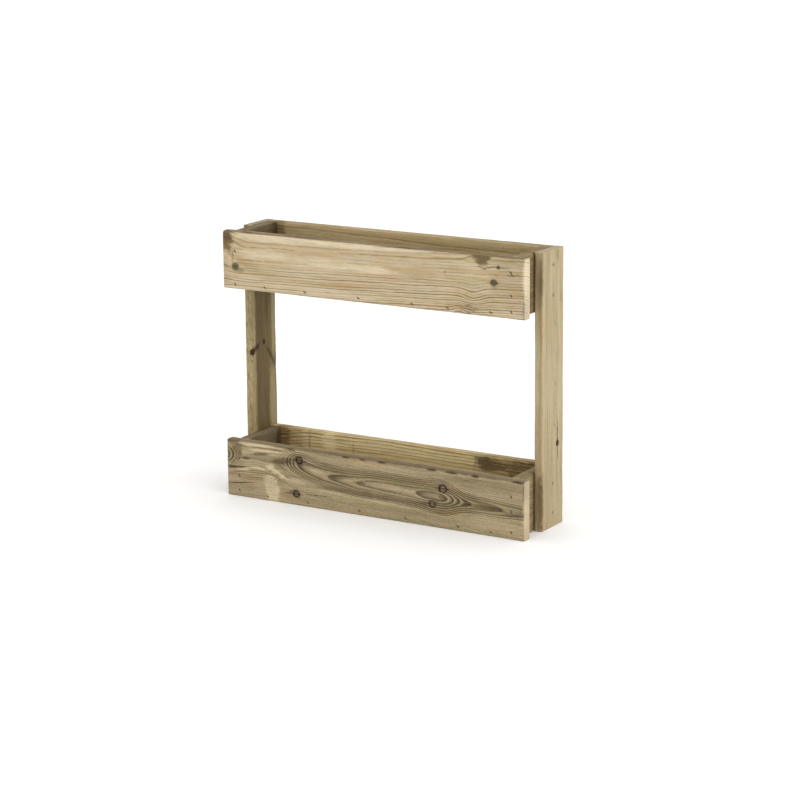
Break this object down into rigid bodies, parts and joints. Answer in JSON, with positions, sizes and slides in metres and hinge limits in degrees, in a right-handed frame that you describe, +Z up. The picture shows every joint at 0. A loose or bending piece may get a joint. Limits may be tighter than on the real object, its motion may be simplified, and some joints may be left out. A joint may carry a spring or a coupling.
{
  "type": "two-tier wall planter",
  "caption": "Slim timber planter for a wall: one plank trough above another, held between upright plank posts, with open space between the tiers.",
  "frame": {"origin": "on the floor, under the middle of the planter", "axes": "+X along the planter, to the right seen from the front; +Y from the front boards to the wall; +Z up"},
  "size_m": [0.7, 0.164, 0.56],
  "materials": {
    "treated_pine": "planed pressure-treated pine, unpainted, slightly greenish tan",
    "galvanised_steel": "dull zinc"
  },
  "bodies": {
    "root": {"left_post": "treated_pine", "right_post": "treated_pine", "upper_front_board": "treated_pine", "upper_back_board": "treated_pine", "upper_left_end_board": "treated_pine", "upper_right_end_board": "treated_pine", "upper_base_board": "treated_pine", "lower_front_board": "treated_pine", "lower_back_board": "treated_pine", "lower_left_end_board": "treated_pine", "lower_right_end_board": "treated_pine", "lower_base_board": "treated_pine", "upper_front_end_staples": "galvanised_steel", "upper_front_base_staples": "galvanised_steel", "upper_back_end_staples": "galvanised_steel", "upper_back_base_staples": "galvanised_steel", "lower_front_end_staples": "galvanised_steel", "lower_front_base_staples": "galvanised_steel", "lower_back_end_staples": "galvanised_steel", "lower_back_base_staples": "galvanised_steel", "upper_left_post_screws": "galvanised_steel", "upper_right_post_screws": "galvanised_steel", "lower_left_post_screws": "galvanised_steel", "lower_right_post_screws": "galvanised_steel"}
  },
  "joints": []
}
